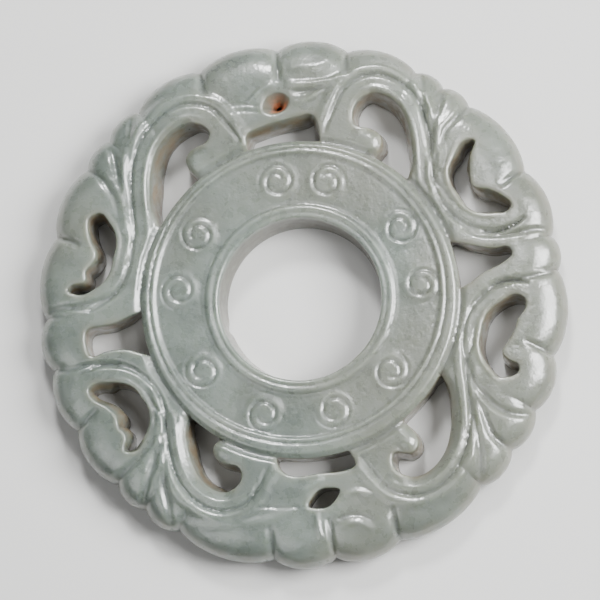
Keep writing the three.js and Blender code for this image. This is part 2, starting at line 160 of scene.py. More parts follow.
# Carved lines: half width, height (negative is cut) and crispness. Those along a scroll or a claw start
# with their distance from its edge and the two shares of its length that they run between.
SCROLL_GROOVE = (2.05, 0.1, 1.0, 0.34, -0.36, 1.0)
SCROLL_RIDGE = (2.95, 0.3, 1.0, 0.8, 0.32, 0.8)
SCROLL_HOLLOW = (4.2, 0.5, 0.75, 0.8, -0.12, 0.4)
CHAMFER_RIDGE = (0.12, 0.04, 0.86, 0.34, 0.16, 1.0)
CLAW_RIDGE = (0.4, 0.05, 0.9, 0.3, 0.12, 1.0)
CLAW_GROOVE = (1.95, 0.18, 1.0, 0.42, -0.34, 0.9)
CREST_RIDGE = (0.6, 0.34, 0.9)
FAN_VALLEY = (0.6, -0.42, 0.7)
SPIRAL_GROOVE = (0.27, -0.24, 0.5)
NOTCH_VALLEY = (0.5, -0.4, 0.8)
SLIT_HALF_WIDTH = 0.36
# How far a line reaches in half widths, and how steep the soft part of its profile is
LINE_REACH = 2.2
LINE_STEEPNESS = 1.3

# The notches between these angles of a quarter belong to its fan
FAN_FROM, FAN_TO = 30, 60
FAN_FOOT, FAN_EDGE = 19.6, 29.4
FAN_BEND = 1.15
FAN_LENGTH = 0.62
FAN_LEAST_GAP = 1.6
# Ways of the other notches' valleys: turn and depth from the notch, for the first notches of a quarter,
# for its last ones, and for those between
FIRST_NOTCH, LAST_NOTCH = 5, 75
FIRST_WAY = ((0, 0), (0, 2.4), (0, 4.8))
LAST_WAY = ((0, 0), (-1.3, 1.8), (-2.2, 5.2), (-4.7, 8.2), (-9.1, 9.9))
MIDDLE_WAY = ((0, 0), (0.2, 1.2), (0.7, 2.6), (1.4, 4.0))
VALLEY_START = NOTCH_RADIUS + 0.9

# Folds and creases beside the hanging hole and round the lower leaf: stations and profile
FOLDS = [
    ([(97.5, 22.7), (96.3, 23.0), (94, 23.7), (91.5, 24.1), (89.7, 24.3)], 0.4, 0.22, 1.0),
    ([(103.5, 23.1), (99, 22.7), (94.8, 22.1)], 0.3, -0.1, 1.0),
    ([(104.1, 22.5), (98.7, 21.9), (95, 21.4)], 0.3, -0.1, 1.0),
    ([(104.3, 21.3), (103.5, 20.5), (102.8, 18.9), (103, 17.9)], 0.35, 0.16, 1.0),
    ([(71, 25.6), (73.5, 24.8), (75.7, 24.3), (78.6, 24), (83, 23.9), (87, 24.1)], 0.6, 0.3, 0.7),
    ([(85.5, 23.1), (83, 23.1), (79.2, 23.4), (76.6, 23.8)], 0.4, -0.24, 0.9),
    ([(85, 21.9), (83, 21.9), (79.9, 22.5), (77.7, 23.1), (75.8, 23.8)], 0.4, 0.2, 0.8),
    ([(86, 25.9), (83, 25.9), (79.6, 26), (77, 26.7), (75.5, 27.5)], 0.8, 0.12, 0.5),
    ([(250.8, 23.5), (254, 23.25), (258.4, 23.1), (263, 23)], 0.3, -0.15, 1.0),
    ([(235, 27.7), (240, 27), (245, 26.2), (250, 25.4), (255, 24.6), (259, 23.8), (262, 23.1)],
     0.7, 0.2, 0.6),
    ([(263.1, 21.3), (266, 20.8), (268.4, 20.4), (271, 20.2)], 0.4, 0.18, 0.8),
    ([(267.7, 23.8), (267.7, 25.2), (268.1, 26.8)], 0.4, 0.2, 0.8),
    ([(275.3, 22.5), (277, 22.3), (279.3, 22.3), (281.5, 22.7), (283.5, 23.3)], 0.45, 0.22, 0.8),
    ([(272.5, 24.8), (275.5, 24.6), (278.5, 24.9), (281.5, 26)], 0.4, -0.2, 0.8),
    ([(272.6, 25.8), (275, 25.5), (277.1, 25.6), (279, 26.1), (280.6, 26.9)], 0.5, 0.18, 0.7),
]

# Stations down an opening's wall between its bevel and its foot: shares of its waist, lean and height
WALL_STATIONS = [(0.6, 0.25, 0.75), (1.0, 0.55, 0.55), (0.6, 0.85, 0.25)]
# The foot of the wall: how far out from its lean, and height
FOOT_ROUNDING = [(0.0, 0.25), (0.12, 0.07), (0.3, 0.0)]
# Insets of the loops round the outer edge above its widest line, and turns of the rounding below it
EDGE_INSETS = (0.42, 0.28, 0.17, 0.08, 0.025, 0.0)
BACK_TURNS = (12, 25, 40, 56, 72, 90)

# Colours of the stone, its stains and residue, and of painted warm light and painted shade, linear
DARK_CLOUD = (0.108, 0.131, 0.115, 1)
LIGHT_CLOUD = (0.158, 0.187, 0.166, 1)
VEIN = (0.205, 0.222, 0.202, 1)
# Warm tint: random warm patches of the stone, together with painted warm light growing towards the right
# side
WARM_STONE_AND_LIGHT = (0.172, 0.169, 0.136, 1)
OCHRE_STAIN = (0.14, 0.1, 0.052, 1)
# Painted shade for the wall of the central hole: a dark colour standing in for the shadow there
PAINTED_WALL_SHADE = (0.06, 0.055, 0.032, 1)
ORANGE_RESIDUE = (0.7, 0.27, 0.12, 1)

FLOOR_HALF = 600
FLOOR_COLOUR = (0.6, 0.6, 0.59, 1)

# The camera looks down a little off the axis of the disc, from far enough to flatten it
VIEW_TILT = 11.5
VIEW_AZIMUTH = -57.5
VIEW_TURN = 7.5
VIEW_DISTANCE = 1000
# The frame in pixels: its size, pixels to a millimetre, and where the middle of the ring's face lies
FRAME_SIZE = 600
FRAME_SCALE = 9.12
FRAME_CENTRE = (299.5, 298.6)
LENS_WIDTH = 36.0


def polar(angle, radius):
    """Points in the plan, from angles and distances from the middle of the ring."""
    a = np.radians(angle)
    return np.stack([radius * np.cos(a), radius * np.sin(a)], -1)


def in_quarter(q, stations):
    """Points in the plan, from stations that give an angle within the quarter and a radius."""
    stations = np.array(stations, float)
    return polar(q["start"] + q["turn"] * stations[:, 0], stations[:, 1])


def smoothstep(value, low, high):
    t = np.clip((value - low) / (high - low), 0, 1)
    return t * t * (3 - 2 * t)


def resample(points, step, closed):
    """Points at even distances along a polyline."""
    line = np.vstack([points, points[:1]]) if closed else points
    length = np.concatenate([[0], np.cumsum(np.linalg.norm(np.diff(line, axis=0), axis=1))])
    count = max(6, int(round(length[-1] / step)))
    at = np.linspace(0, length[-1], count + 1)
    even = np.stack([np.interp(at, length, line[:, k]) for k in range(2)], -1)
    return even[:-1] if closed else even


def curve(points, step, closed=False):
    """A centripetal Catmull-Rom curve through the points, evenly sampled."""
    p = np.asarray(points, float)
    if closed:
        p = np.vstack([p[-1:], p, p[:2]])
    else:
        p = np.vstack([2 * p[0] - p[1], p, 2 * p[-1] - p[-2]])
    fine = []
    for i in range(1, len(p) - 2):
        a, b, c, d = p[i - 1:i + 3]
        t0, t1, t2 = (max(np.linalg.norm(v), 1e-6) ** 0.5 for v in (b - a, c - b, d - c))
        m1 = ((b - a) / t0 - (c - a) / (t0 + t1) + (c - b) / t1) * t1
        m2 = ((c - b) / t1 - (d - b) / (t1 + t2) + (d - c) / t2) * t1
        t = np.linspace(0, 1, 24, endpoint=False)[:, None]
        fine.append(b + m1 * t + (3 * (c - b) - 2 * m1 - m2) * t ** 2 + (2 * (b - c) + m1 + m2) * t ** 3)
    if not closed:
        fine.append(p[-2:-1])
    return resample(np.vstack(fine), step, closed)


def signed_area(loop):
    """The area inside a loop, positive when it runs anticlockwise."""
    nxt = np.roll(loop, -1, axis=0)
    return 0.5 * np.sum(loop[:, 0] * nxt[:, 1] - loop[:, 1] * nxt[:, 0])


def outward_normals(loop, closed=True):
    """Unit normals to the right of the way along a line, which is outwards for an anticlockwise loop."""
    along = np.roll(loop, -1, axis=0) - np.roll(loop, 1, axis=0)
    if not closed:
        along[0], along[-1] = loop[1] - loop[0], loop[-1] - loop[-2]
    along /= np.linalg.norm(along, axis=1)[:, None] + 1e-12
    return np.stack([along[:, 1], -along[:, 0]], -1)


def room_beside(loop, normals):
    """Radius of the largest circle that touches each point from the side of its normal."""
    gap = loop[None] - loop[:, None]
    ahead = np.einsum("ijk,ik->ij", gap, normals)
    size = np.einsum("ijk,ijk->ij", gap, gap)
    return np.where(ahead > 1e-6, size / np.maximum(2 * ahead, 1e-9), np.inf).min(1)


def offset_loop(loop, distance):
    """An anticlockwise loop moved outwards, by less where there is little room."""
    distance = np.broadcast_to(np.asarray(distance, float), len(loop))
    normals = outward_normals(loop)
    room = np.where(distance > 0, room_beside(loop, normals), room_beside(loop, -normals))
    move = np.sign(distance) * np.minimum(np.abs(distance), room / 2)
    for _ in range(3):
        spread = (np.roll(move, 1) + move + np.roll(move, -1)) / 3
        move = np.where(np.abs(spread) < np.abs(move), spread, move)
    return loop + normals * move[:, None]


# Outline of the lobes
NOTCHES = np.array(sorted((q["start"] + q["turn"] * n) % 360 for q in QUARTERS for n in q["notches"]))


def outline_radius(angle):
    """Distance from the middle of the outline to its lobed edge."""
    angle = np.asarray(angle) % 360
    i = np.searchsorted(NOTCHES, angle, side="right") - 1
    start = NOTCHES[i]
    width = (NOTCHES[(i + 1) % len(NOTCHES)] - start) % 360
    share = ((angle - start) % 360) / width
    rise = np.minimum(LOBE_RISE, LOBE_RISE_SHARE * np.radians(width) * NOTCH_RADIUS)
    return NOTCH_RADIUS + rise * np.abs(np.sin(np.pi * share)) ** LOBE_FULLNESS


def outline_inset(points):
    """How far each point lies inside the lobed outline, along its radius."""
    p = points - OUTLINE_SHIFT
    return outline_radius(np.degrees(np.arctan2(p[:, 1], p[:, 0]))) - np.hypot(p[:, 0], p[:, 1])


def outline_loop(inset):
    """The lobed outline, drawn in by an inset."""
    count = int(2 * np.pi * NOTCH_RADIUS / EDGE_STEP)
    angle = np.linspace(0, 360, count, endpoint=False)
    return polar(angle, outline_radius(angle) - inset) + OUTLINE_SHIFT


# Openings
def scroll_station(q, along, out):
    """A station of a scroll, from its shares along the scroll and out from the ring."""
    tip, crook, crown = q["scroll"][:3]
    return tip - (tip - crook) * along, RING_RADIUS + (crown - RING_RADIUS) * out


def scroll_opening(q):
    """Round a scroll's opening: its outer edge, the pocket, the knob, and the ring's edge."""
    knob, top, pocket = q["scroll"][3:]
    length = SCROLL_NOTCH - knob
    knob_edge = [(0.5, top), (0.2, top - 0.03), (0.02, top - 0.17), (0.02, 0.05), (0.05, -0.15)]
    stations = SCROLL_EDGE + [(SCROLL_NOTCH, pocket)] + [(knob + length * s, out) for s, out in knob_edge]
    stations += [(0.3, -0.25), (0.05, -0.15)]
    return in_quarter(q, [scroll_station(q, *s) for s in stations])


def knob_middle(q):
    """The middle of a scroll's rounded knob."""
    knob, top = q["scroll"][3:5]
    return in_quarter(q, [scroll_station(q, knob + KNOB_PAST, top * KNOB_SHARE)])[0]


def claw_arc(q, shares):
    """Stations of the ring side of a claw opening, at shares of its length."""
    start, end, low, rise, roundness = q["claw"]
    shares = np.asarray(shares, float)
    radius = low + (rise - low) * np.abs(2 * shares - 1) ** roundness
    return np.stack([start + (end - start) * shares, radius], -1)


def claw_opening(q):
    arc = claw_arc(q, [0.005, 0.07, 0.17, 0.33, 0.5, 0.67, 0.83, 0.93, 0.995])
    return in_quarter(q, np.vstack([arc, q["scallops"]]))


def leaf_opening(ends, half_width):
    """A leaf with a point at each end."""
    a, b = (polar(*end) for end in ends)
    along = (b - a) / np.linalg.norm(b - a)
    across = np.array([-along[1], along[0]])
    turns = np.array([0, 0.22, 0.5, 0.78, 1, 1.22, 1.5, 1.78])
    share = 1 - np.abs(1 - turns)
    half = np.sign(1 - turns) * half_width * np.sin(np.pi * share)
    return a + (b - a) * share[:, None] + across * half[:, None]


def opening_loop(points):
    """The upper edge of an opening, anticlockwise, stopped by the ring's edge."""
    loop = curve(points, EDGE_STEP / 2, closed=True)
    radius = np.hypot(loop[:, 0], loop[:, 1])
    loop *= (np.maximum(radius, RING_RADIUS + OPENING_BEVEL * 0.2) / radius)[:, None]
    loop = resample(loop, EDGE_STEP, closed=True)
    for _ in range(2):
        loop = (np.roll(loop, 1, axis=0) + 2 * loop + np.roll(loop, -1, axis=0)) / 4
    return loop if signed_area(loop) > 0 else loop[::-1]


def lean(loop, ring_side, outer_side, split):
    """How far each point of an opening's wall comes in towards the back."""
    radius = np.hypot(loop[:, 0], loop[:, 1])
    return ring_side + (outer_side - ring_side) * smoothstep(radius, split - 0.7, split + 0.7)


def scroll_lean(q, loop, strand):
    """The lean of a scroll's wall: back at the ring, a little in at the knob, and in at the strand."""
    side = strand_side(q, loop)
    radius = np.hypot(loop[:, 0], loop[:, 1])
    inner = np.where(radius < RING_RADIUS + 0.2, RING_SIDE_TAPER, KNOB_TAPER)
    found = inner + (strand - inner) * side
    for _ in range(6):
        found = (np.roll(found, 1) + found + np.roll(found, -1)) / 3
    return found


def strand_side(q, loop):
    """Share to which each point of a scroll's loop faces the strand round it: 0 to 1."""
    normals = outward_normals(loop)
    away = loop / np.hypot(loop[:, 0], loop[:, 1])[:, None]
    to_tip = np.stack([-away[:, 1], away[:, 0]], -1) * q["turn"]
    facing = (normals * (0.6 * away + 0.8 * to_tip)).sum(1)
    return smoothstep(facing, -0.15, 0.35)


def openings():
    """Each opening's loop, and the lean of its wall at each point."""
    found = []
    for q in QUARTERS:
        strand, arc, scallops = q["tapers"]
        loop = opening_loop(scroll_opening(q))
        found.append((loop, scroll_lean(q, loop, strand)))
        loop = opening_loop(claw_opening(q))
        found.append((loop, lean(loop, arc, scallops, CLAW_SPLIT)))
    for stations, outer_side in BRIDGES:
        loop = opening_loop(np.array([polar(*s) for s in stations]))
        found.append((loop, lean(loop, RING_SIDE_TAPER, outer_side, BRIDGE_SPLIT)))
    ends, half_width, taper = LOWER_LEAF
    loop = opening_loop(leaf_opening(ends, half_width))
    found.append((loop, np.full(len(loop), taper)))
    loop = opening_loop(polar(*np.array(HANGING_HOLE).T))
    found.append((loop, np.full(len(loop), HANGING_HOLE_LEAN)))
    return found


OPENINGS = openings()
OPENING_EDGE = np.vstack([loop for loop, _ in OPENINGS])
KNOBS = np.array([knob_middle(q) for q in QUARTERS])


# Cut and raised lines of the border
def along_scroll(q, offset, first, last):
    """A line that follows a scroll's outer edge at a distance, between two shares of its length."""
    before = [(-0.9, 0.03), (-0.45, 0.02), (-0.15, 0.03)]
    after = [(1.03, 0.32), (1.05, 0.1)]
    stations = [scroll_station(q, *s) for s in before + SCROLL_EDGE[1:] + after]
    path = curve(in_quarter(q, stations), LINE_STEP)
    normals = outward_normals(path, closed=False)
    if np.dot(normals[len(path) // 2], path[len(path) // 2]) < 0:
        normals = -normals
    moved = path + normals * offset
    n = len(path) - 1
    return moved[int(n * first):int(n * last) + 1]


def beside(path, distance):
    """A smoothed line beside a path, at a distance along its normals."""
    moved = path + outward_normals(path, closed=False) * distance
    for _ in range(16):
        moved[1:-1] = (moved[:-2] + moved[1:-1] + moved[2:]) / 3
    return moved


def claw_line(q, outset, first, last):
    """A line that follows the ring side of a claw opening at a distance, between two shares."""
    path = curve(in_quarter(q, claw_arc(q, np.linspace(0.0, 1.0, 15))), LINE_STEP)
    side = np.sign(outward_normals(path, closed=False)[len(path) // 2] @ path[len(path) // 2])
    moved = beside(path, -side * outset)
    n = len(path) - 1
    return moved[int(n * first):int(n * last) + 1]


def fan_lines(q):
    """Valleys from the notches of the fan, which draw in to the crest of their quarter."""
    if "fan" in q:
        return [curve(in_quarter(q, stations), LINE_STEP) for stations in q["fan"]]
    crest = np.array([(q["crest"][0][0], FAN_EDGE)] + q["crest"])
    share = np.clip((crest[:, 1] - FAN_FOOT) / (FAN_EDGE - FAN_FOOT), 0, 1) ** FAN_BEND
    found = []
    for notch in (n for n in q["notches"] if FAN_FROM < n < FAN_TO):
        gap = notch - crest[0, 0]
        gap = math.copysign(max(abs(gap), FAN_LEAST_GAP), gap)
        path = curve(in_quarter(q, np.stack([crest[:, 0] + gap * share, crest[:, 1]], -1)), LINE_STEP)
        found.append(path[:int(len(path) * FAN_LENGTH)])
    return found


def notch_lines(q):
    """Valleys inward from the notches outside the fan."""
    found = []
    for notch in q["notches"]:
        if FAN_FROM < notch < FAN_TO:
            continue
        way = FIRST_WAY if notch <= FIRST_NOTCH else LAST_WAY if notch > LAST_NOTCH else MIDDLE_WAY
        stations = [(notch + turn, VALLEY_START - depth) for turn, depth in way]
        found.append(curve(in_quarter(q, stations), LINE_STEP))
    return found


def slit_line(q):
    """The slit at the root of a claw, from its tip out into the lobe."""
    end, low, rise = q["claw"][1:4]
    stations = [(end + 2.2, low + 0.4), (end + 3.8, low + 2.1), (end + 3.6, rise + 0.1),
                (end + 2.6, rise + 1.5)]
    return curve(in_quarter(q, stations), LINE_STEP)


def border_lines():
    """Every line of the border: its path, half width, height and crispness."""
    lines = []
    for q in QUARTERS:
        chamfer_ridge = (q["chamfer"] + CHAMFER_RIDGE[0], *CHAMFER_RIDGE[1:])
        for offset, first, last, *profile in (SCROLL_GROOVE, chamfer_ridge, SCROLL_RIDGE, SCROLL_HOLLOW):
            lines.append((along_scroll(q, offset, first, last), *profile))
        half, height, crisp = CREST_RIDGE
        lines.append((curve(in_quarter(q, q["crest"]), LINE_STEP), half, height * q["relief"], crisp))
        for outset, first, last, *profile in (CLAW_RIDGE, CLAW_GROOVE):
            lines.append((claw_line(q, outset, first, last), *profile))
        lines.append((slit_line(q), SLIT_HALF_WIDTH, -q["slit"], 1.0))
        half, height, crisp = FAN_VALLEY
        lines += [(path, half, height * q["relief"], crisp) for path in fan_lines(q)]
        lines += [(path, *NOTCH_VALLEY) for path in notch_lines(q)]
    return lines + [(curve(polar(*np.array(path).T), LINE_STEP), *profile) for path, *profile in FOLDS]


def add_lines(points, height, lines):
    """Adds each line's profile to the height, fading at the line's ends."""
    for path, half, amount, crisp in lines:
        reach = half * LINE_REACH
        low, high = path.min(0) - reach, path.max(0) + reach
        near = np.where(((points > low) & (points < high)).all(1))[0]
        if len(near) == 0:
            continue
        a, b = path[:-1], path[1:]
        ab = b - a
        rel = points[near, None] - a[None]
        t = np.clip(np.einsum("ijk,jk->ij", rel, ab) / np.einsum("jk,jk->j", ab, ab), 0, 1)
        gap = np.linalg.norm(rel - t[..., None] * ab[None], axis=2)
        j = gap.argmin(1)
        rows = np.arange(len(near))
        distance = gap[rows, j] / half
        share = (j + t[rows, j]) / len(a)
        strength = np.clip(4 * share * (1 - share), 0, 1) ** 0.5
        tent = np.clip(1 - distance, 0, 1)
        bell = np.exp(-(distance * LINE_STEEPNESS) ** 2)
        height[near] += amount * strength * (crisp * tent + (1 - crisp) * bell)
    return height


def hump(distance, half_width):
    """A smooth profile: 1 in the middle of a line, fading out past its half width."""
    return np.exp(-(distance / half_width) ** 2)


def ring_height(points):
    """Height over the ring: rims, grooves and the sunken band."""
    radius = np.hypot(points[:, 0], points[:, 1])
    shifted = np.hypot(*(points - BAND_SHIFT).T)
    band_in, band_out = HOLE_RADIUS + INNER_RIM_WIDTH, RING_RADIUS - OUTER_RIM_WIDTH
    height = np.full(len(points), RING_TOP)
    band = smoothstep(radius, band_in + 0.05, band_in + 0.35)
    band *= 1 - smoothstep(shifted, band_out - 0.3, band_out)
    dish = BAND_DISH * np.cos((shifted - BAND_DISH_MIDDLE) / BAND_DISH_WIDTH)
    height -= band * (BAND_DEPTH - dish)
    for rise, place, width in INNER_RIM_LINES:
        height += rise * hump(radius - (band_in + place), width)
    for rise, place, width in OUTER_RIM_LINES:
        height += rise * hump(shifted - (band_out + place), width)
    return height - RING_EDGE_DROP * smoothstep(radius, RING_RADIUS - 0.65, RING_RADIUS + 0.1)


def dome_height(inset):
    """Height of the plain rounded border at a distance inside its outline."""
    outward = 1 - np.clip(np.asarray(inset) / DOME_WIDTH, 0, 1)
    return WIDEST_LEVEL + (BORDER_TOP - WIDEST_LEVEL) * (1 - outward ** DOME_EDGE_POWER) ** DOME_TOP_POWER


def border_height(points):
    """Height over the border: rounded lobes, strands and the valleys between them."""
    radius = np.hypot(points[:, 0], points[:, 1])
    height = dome_height(outline_inset(points))
    height -= (RING_EDGE_DROP - 0.1) * (1 - smoothstep(radius, RING_RADIUS, RING_RADIUS + 0.9))
    carved = add_lines(points, np.zeros(len(points)), border_lines())
    return height + carved * smoothstep(outline_inset(points), -0.3, 1.3)


def spiral_height(points):
    """Height of the spirals over the band: flat swells, each cut by a groove that coils in to a knob."""
    height = np.zeros(len(points))
    grooves = []
    for middle, spread, radius in SPIRAL_PAIRS:
        for side in (-1, 1):
            angle = middle + side * spread
            centre = polar(angle, radius)
            share = np.linspace(0, 1, 60)
            reach = SPIRAL_CORE + (SPIRAL_RADIUS - SPIRAL_CORE) * (1 - share) ** 0.8
            turn = math.radians(angle) + side * SPIRAL_FACING - side * SPIRAL_TURNS * 2 * math.pi * share
            path = centre + np.stack([reach * np.cos(turn), reach * np.sin(turn)], -1)
            grooves.append((path, *SPIRAL_GROOVE))
            height += SPIRAL_SWELL * np.exp(-(np.hypot(*(points - centre).T) / SPIRAL_RADIUS) ** 6)
    return add_lines(points, height, grooves)


def face_height(points):
    """Height of the carved face."""
    radius = np.hypot(points[:, 0], points[:, 1])
    height = ring_height(points) + spiral_height(points)
    is_border = radius > RING_RADIUS
    outer = points[is_border]
    height[is_border] = border_height(outer)
    scrolls = OPENINGS[:2 * len(QUARTERS):2]
    for q, (loop, _) in zip(QUARTERS, scrolls):
        strand = loop[strand_side(q, loop) > 0.5]
        reach = nearest_distance(outer, strand) / q["chamfer"]
        height[is_border] -= CHAMFER_DROP * q["chamfer"] * np.clip(1 - reach, 0, 1) ** 1.5
    near_edge = nearest_distance(outer, OPENING_EDGE)
    near_knob = 1 - smoothstep(nearest_distance(outer, KNOBS), KNOB_ROUND_WIDTH, 2 * KNOB_ROUND_WIDTH)
    height[is_border] -= OPENING_WEAR_DEPTH * np.clip(1 - near_edge / OPENING_WEAR_WIDTH, 0, 1) ** 2
    height[is_border] -= KNOB_ROUND_DEPTH * near_knob * np.clip(1 - near_edge / KNOB_ROUND_WIDTH, 0, 1) ** 2
    hole_edge = np.clip(1 - (radius - HOLE_RADIUS) / HOLE_EDGE_ROUND, 0, 1)
    height -= HOLE_EDGE_DROP * hole_edge ** 2
    return np.minimum(height, THICKNESS)


def nearest_distance(points, targets):
    """Distance from each point to the nearest target."""
    tree = kdtree.KDTree(len(targets))
    for i, target in enumerate(targets):
        tree.insert((target[0], target[1], 0), i)
    tree.balance()
    return np.array([tree.find((p[0], p[1], 0))[2] for p in points])


def inside_loop(points, loop):
    """True for the points inside a closed loop."""
    low, high = loop.min(0), loop.max(0)
    found = np.zeros(len(points), bool)
    near = np.where(((points > low) & (points < high)).all(1))[0]
    a, b = loop, np.roll(loop, -1, axis=0)
    x, y = points[near, 0][:, None], points[near, 1][:, None]
    crosses = (a[:, 1] > y) != (b[:, 1] > y)
    slope = (b[:, 0] - a[:, 0]) / np.where(b[:, 1] == a[:, 1], 1e-12, b[:, 1] - a[:, 1])
    found[near] = (crosses & (x < a[:, 0] + (y - a[:, 1]) * slope)).sum(1) % 2 == 1
    return found


def even_grid(low, high, step):
    """Points at the corners of even triangles, over the rectangle between two corners."""
    rows = []
    for i, y in enumerate(np.arange(low[1], high[1], step * math.sqrt(3) / 2)):
        x = np.arange(low[0] + (i % 2) * step / 2, high[0], step)
        rows.append(np.stack([x, np.full(len(x), y)], -1))
    return np.vstack(rows)


def fill(outer, holes, step, clear):
    """A flat triangle mesh between an outer loop and holes, with an even grid inside."""
    grid = even_grid(outer.min(0), outer.max(0), step)
    keep = inside_loop(grid, outer)
    for hole in holes:
        keep &= ~inside_loop(grid, hole)
    grid = grid[keep]
    loops = [outer] + holes
    grid = grid[nearest_distance(grid, np.vstack(loops)) > clear]
    edges, start = [], 0
    for loop in loops:
        n = len(loop)
        edges += [(start + i, start + (i + 1) % n) for i in range(n)]
        start += n
    flat = np.vstack(loops + [grid])
    verts, _, faces, *_ = delaunay_2d_cdt([Vector(p) for p in flat.tolist()], edges, [], 0, 1e-7)
    assert len(verts) == len(flat), "the outlines of the face cross each other"
    faces = np.array(faces)
    middle = flat[faces].mean(1)
    keep = inside_loop(middle, outer)
    for hole in holes:
        keep &= ~inside_loop(middle, hole)
    return flat, faces[keep]


def at_height(loop, z):
    """A loop of the plan lifted to one height, or each of its points to its own."""
    return np.column_stack([loop, np.broadcast_to(z, len(loop))])


def opening_rings(loop, taper, waist=0.0):
    """Loops down the wall of an opening, from the face over a narrower waist to the back."""
    top = offset_loop(loop, OPENING_BEVEL)
    z = face_height(top)
    to_waist = (loop.mean(0) + WAIST_SHIFT - loop) * waist
    rings = [at_height(top, z),
             at_height(offset_loop(loop, OPENING_BEVEL * 0.45), z - OPENING_BEVEL * 0.3),
             at_height(loop, z - OPENING_BEVEL)]
    for drawn, leaned, level in WALL_STATIONS:
        rings.append(at_height(offset_loop(loop + to_waist * drawn, -taper * leaned), level * z))
    for outward, level in FOOT_ROUNDING:
        rings.append(at_height(offset_loop(loop, outward - taper), level))
    return rings


def hole_rings():
    """Loops down the wall of the central hole, from its rounded edge to the back."""
    count = int(2 * math.pi * HOLE_RADIUS / EDGE_STEP)
    angle = np.linspace(0, 360, count, endpoint=False)
    chip = CHIP_DEPTH * np.exp(-((angle - CHIP_ANGLE) / CHIP_SPREAD) ** 2)

    def circle(grow, chipped=0.0):
        return polar(angle, HOLE_RADIUS + grow + chip * chipped)

    top = circle(HOLE_EDGE_ROUND * 0.7)
    z = face_height(top)
    rings = [at_height(top, z)]
    for turn in (60, 30, 0):
        rings.append(at_height(circle(HOLE_EDGE_ROUND * 0.7 * (1 - math.cos(math.radians(turn)))),
                               z - HOLE_EDGE_ROUND * (1 - math.sin(math.radians(turn)))))
    for share in (0.8, 0.6, 0.4, 0.2, 0.08):
        rings.append(at_height(circle(-HOLE_TAPER * (1 - share), max(0.5 - share, 0)), z * share))
    for outward, level in ((0.1, 0.1), (0.35, 0.0)):
        rings.append(at_height(circle(outward - HOLE_TAPER, 0.5), level))
    return rings


def outline_rings():
    """Loops round the outer edge, from the face over the widest line to the back."""
    first = EDGE_INSETS[0]
    sink = dome_height(first) - border_height(outline_loop(first))
    rings = [at_height(outline_loop(inset), dome_height(inset) - sink * (inset / first) ** 2)
             for inset in EDGE_INSETS]
    for turn in BACK_TURNS:
        t = math.radians(turn)
        rings.append(at_height(outline_loop(BACK_ROUND_WIDTH * (1 - math.cos(t))),
                               WIDEST_LEVEL * (1 - math.sin(t))))
    return rings


def disc_mesh():
    """Points and faces of the closed surface: face, walls and back."""
    walls = [outline_rings(), hole_rings()]
    walls += [opening_rings(loop, taper) for loop, taper in OPENINGS[:-1]]
    walls.append(opening_rings(*OPENINGS[-1], WAIST_SHARE))
    tops = [wall[0][:, :2] for wall in walls]
    feet = [wall[-1][:, :2] for wall in walls]
    top_flat, top_faces = fill(tops[0], tops[1:], FACE_STEP, FACE_STEP * 0.6)
    foot_flat, foot_faces = fill(feet[0], feet[1:], BACK_STEP, BACK_STEP * 0.5)
    inner = top_flat[sum(len(loop) for loop in tops):]
    points = [np.vstack([wall[0] for wall in walls]), at_height(inner, face_height(inner))]
    quads, foot_index = [], []
    rim_start, start = 0, len(top_flat)
    for wall in walls:
        n = len(wall[0])
        rows = wall[1:]
        points.append(np.vstack(rows))
        index = [np.arange(rim_start, rim_start + n)]
        index += [np.arange(start + k * n, start + (k + 1) * n) for k in range(len(rows))]
        for upper, lower in zip(index[:-1], index[1:]):
            quads.append(np.stack([upper, np.roll(upper, -1), np.roll(lower, -1), lower], -1))
        foot_index.append(index[-1])
        rim_start += n
        start += n * len(rows)
    foot_inner = foot_flat[sum(len(index) for index in foot_index):]
    points.append(at_height(foot_inner, 0.0))
    foot_map = np.concatenate(foot_index + [start + np.arange(len(foot_inner))])
    faces = top_faces.tolist() + np.vstack(quads).tolist() + foot_map[foot_faces][:, ::-1].tolist()
    return np.vstack(points), faces


